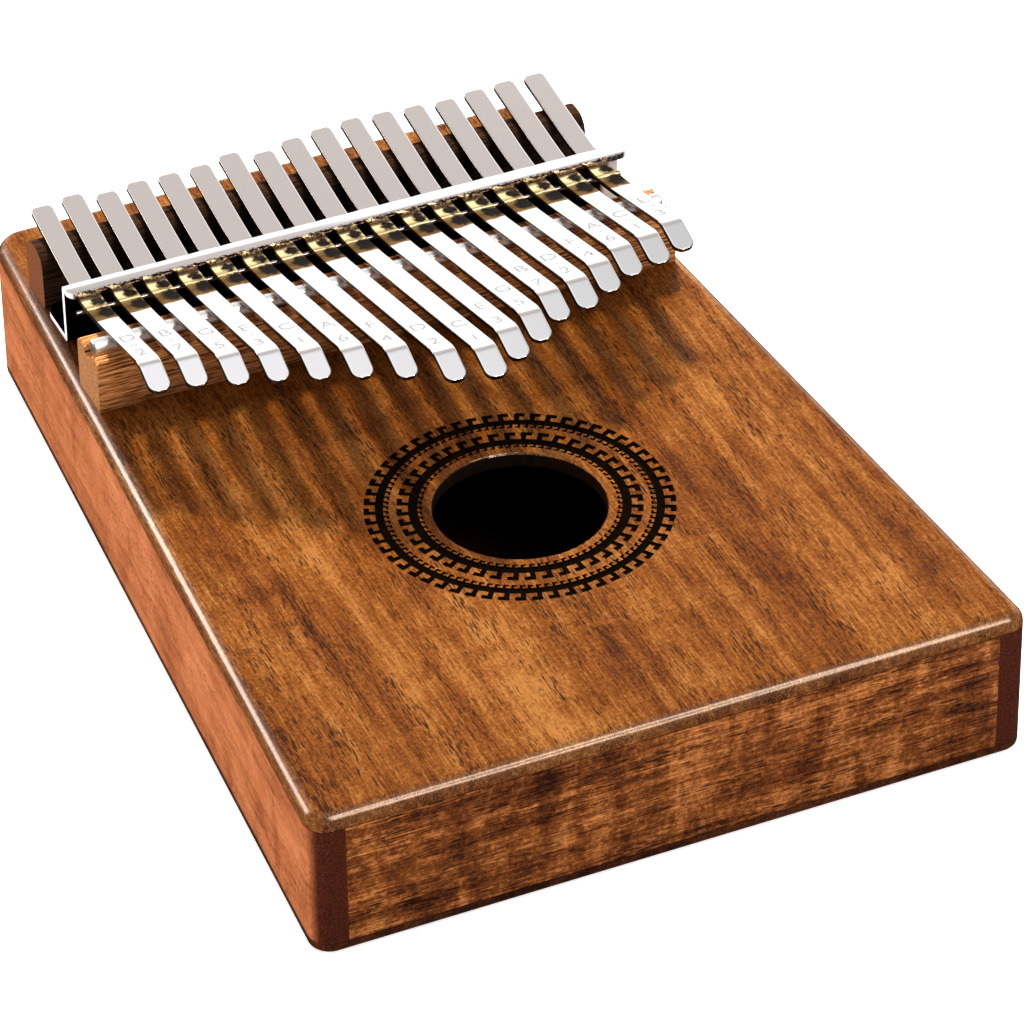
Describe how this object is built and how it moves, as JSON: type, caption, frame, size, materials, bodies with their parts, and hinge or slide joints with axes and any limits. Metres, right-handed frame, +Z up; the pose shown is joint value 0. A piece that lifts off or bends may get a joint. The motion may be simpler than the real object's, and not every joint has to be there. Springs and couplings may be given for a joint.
{
  "type": "mbira",
  "caption": "Box mbira: steel tines clamped over a bridge rod by a slotted bracket on a tapered wooden sound box with a round sound hole and burnt ring ornament.",
  "frame": {"origin": "middle of the sound box's underside, where it rests on a table", "axes": "+X to the player's right, +Y towards the head where the tines are held, +Z up out of the top board"},
  "size_m": [0.1364, 0.19, 0.0554],
  "materials": {
    "top_wood": "satin lacquer",
    "side_wood": "satin lacquer",
    "bar_wood": "matt oil",
    "spring_steel": "polished nickel plate",
    "plated_steel": "polished chrome plate"
  },
  "bodies": {
    "instrument": {"top_board": "top_wood", "back_board": "side_wood", "left_side": "side_wood", "right_side": "side_wood", "foot_end_panel": "side_wood", "head_end_panel": "side_wood", "anchor_block": "bar_wood", "front_bridge": "bar_wood", "bridge_rod": "plated_steel", "rear_saddle": "bar_wood", "tine_bracket": "plated_steel", "bracket_screws": "plated_steel", "damping_wire": "plated_steel", "tine_01_held_end": "spring_steel", "tine_02_held_end": "spring_steel", "tine_03_held_end": "spring_steel", "tine_04_held_end": "spring_steel", "tine_05_held_end": "spring_steel", "tine_06_held_end": "spring_steel", "tine_07_held_end": "spring_steel", "tine_08_held_end": "spring_steel", "tine_09_held_end": "spring_steel", "tine_10_held_end": "spring_steel", "tine_11_held_end": "spring_steel", "tine_12_held_end": "spring_steel", "tine_13_held_end": "spring_steel", "tine_14_held_end": "spring_steel", "tine_15_held_end": "spring_steel", "tine_16_held_end": "spring_steel", "tine_17_held_end": "spring_steel"},
    "tine_01": {"tine_01_playing_end": "spring_steel"},
    "tine_02": {"tine_02_playing_end": "spring_steel"},
    "tine_03": {"tine_03_playing_end": "spring_steel"},
    "tine_04": {"tine_04_playing_end": "spring_steel"},
    "tine_05": {"tine_05_playing_end": "spring_steel"},
    "tine_06": {"tine_06_playing_end": "spring_steel"},
    "tine_07": {"tine_07_playing_end": "spring_steel"},
    "tine_08": {"tine_08_playing_end": "spring_steel"},
    "tine_09": {"tine_09_playing_end": "spring_steel"},
    "tine_10": {"tine_10_playing_end": "spring_steel"},
    "tine_11": {"tine_11_playing_end": "spring_steel"},
    "tine_12": {"tine_12_playing_end": "spring_steel"},
    "tine_13": {"tine_13_playing_end": "spring_steel"},
    "tine_14": {"tine_14_playing_end": "spring_steel"},
    "tine_15": {"tine_15_playing_end": "spring_steel"},
    "tine_16": {"tine_16_playing_end": "spring_steel"},
    "tine_17": {"tine_17_playing_end": "spring_steel"}
  },
  "joints": [
    {"name": "tine_01_flex", "type": "hinge", "parent": "instrument", "child": "tine_01", "pos_m": [-0.05221, 0.0355, 0.04331], "axis": [1, 0, 0], "range_deg": [-1, 1], "stiffness_Nm_per_rad": 5.37},
    {"name": "tine_02_flex", "type": "hinge", "parent": "instrument", "child": "tine_02", "pos_m": [-0.04568, 0.0355, 0.04331], "axis": [1, 0, 0], "range_deg": [-1.2, 1.2], "stiffness_Nm_per_rad": 5.12},
    {"name": "tine_03_flex", "type": "hinge", "parent": "instrument", "child": "tine_03", "pos_m": [-0.03916, 0.0355, 0.04331], "axis": [1, 0, 0], "range_deg": [-1.5, 1.5], "stiffness_Nm_per_rad": 4.68},
    {"name": "tine_04_flex", "type": "hinge", "parent": "instrument", "child": "tine_04", "pos_m": [-0.03263, 0.0355, 0.04331], "axis": [1, 0, 0], "range_deg": [-1.7, 1.7], "stiffness_Nm_per_rad": 4.39},
    {"name": "tine_05_flex", "type": "hinge", "parent": "instrument", "child": "tine_05", "pos_m": [-0.0261, 0.0355, 0.04331], "axis": [1, 0, 0], "range_deg": [-2.1, 2.1], "stiffness_Nm_per_rad": 4.07},
    {"name": "tine_06_flex", "type": "hinge", "parent": "instrument", "child": "tine_06", "pos_m": [-0.01958, 0.0355, 0.04331], "axis": [1, 0, 0], "range_deg": [-2.5, 2.5], "stiffness_Nm_per_rad": 3.78},
    {"name": "tine_07_flex", "type": "hinge", "parent": "instrument", "child": "tine_07", "pos_m": [-0.01305, 0.0355, 0.04331], "axis": [1, 0, 0], "range_deg": [-3, 3], "stiffness_Nm_per_rad": 3.48},
    {"name": "tine_08_flex", "type": "hinge", "parent": "instrument", "child": "tine_08", "pos_m": [-0.00653, 0.0355, 0.04331], "axis": [1, 0, 0], "range_deg": [-3.8, 3.8], "stiffness_Nm_per_rad": 3.15},
    {"name": "tine_09_flex", "type": "hinge", "parent": "instrument", "child": "tine_09", "pos_m": [0, 0.0355, 0.04331], "axis": [1, 0, 0], "range_deg": [-4.2, 4.2], "stiffness_Nm_per_rad": 3.02},
    {"name": "tine_10_flex", "type": "hinge", "parent": "instrument", "child": "tine_10", "pos_m": [0.00653, 0.0355, 0.04331], "axis": [1, 0, 0], "range_deg": [-3.6, 3.6], "stiffness_Nm_per_rad": 3.25},
    {"name": "tine_11_flex", "type": "hinge", "parent": "instrument", "child": "tine_11", "pos_m": [0.01305, 0.0355, 0.04331], "axis": [1, 0, 0], "range_deg": [-3, 3], "stiffness_Nm_per_rad": 3.51},
    {"name": "tine_12_flex", "type": "hinge", "parent": "instrument", "child": "tine_12", "pos_m": [0.01958, 0.0355, 0.04331], "axis": [1, 0, 0], "range_deg": [-2.3, 2.3], "stiffness_Nm_per_rad": 3.92},
    {"name": "tine_13_flex", "type": "hinge", "parent": "instrument", "child": "tine_13", "pos_m": [0.0261, 0.0355, 0.04331], "axis": [1, 0, 0], "range_deg": [-2.1, 2.1], "stiffness_Nm_per_rad": 4.07},
    {"name": "tine_14_flex", "type": "hinge", "parent": "instrument", "child": "tine_14", "pos_m": [0.03263, 0.0355, 0.04331], "axis": [1, 0, 0], "range_deg": [-1.7, 1.7], "stiffness_Nm_per_rad": 4.44},
    {"name": "tine_15_flex", "type": "hinge", "parent": "instrument", "child": "tine_15", "pos_m": [0.03916, 0.0355, 0.04331], "axis": [1, 0, 0], "range_deg": [-1.3, 1.3], "stiffness_Nm_per_rad": 4.89},
    {"name": "tine_16_flex", "type": "hinge", "parent": "instrument", "child": "tine_16", "pos_m": [0.04568, 0.0355, 0.04331], "axis": [1, 0, 0], "range_deg": [-1.2, 1.2], "stiffness_Nm_per_rad": 5.12},
    {"name": "tine_17_flex", "type": "hinge", "parent": "instrument", "child": "tine_17", "pos_m": [0.05221, 0.0355, 0.04331], "axis": [1, 0, 0], "range_deg": [-0.9, 0.9], "stiffness_Nm_per_rad": 5.58}
  ]
}
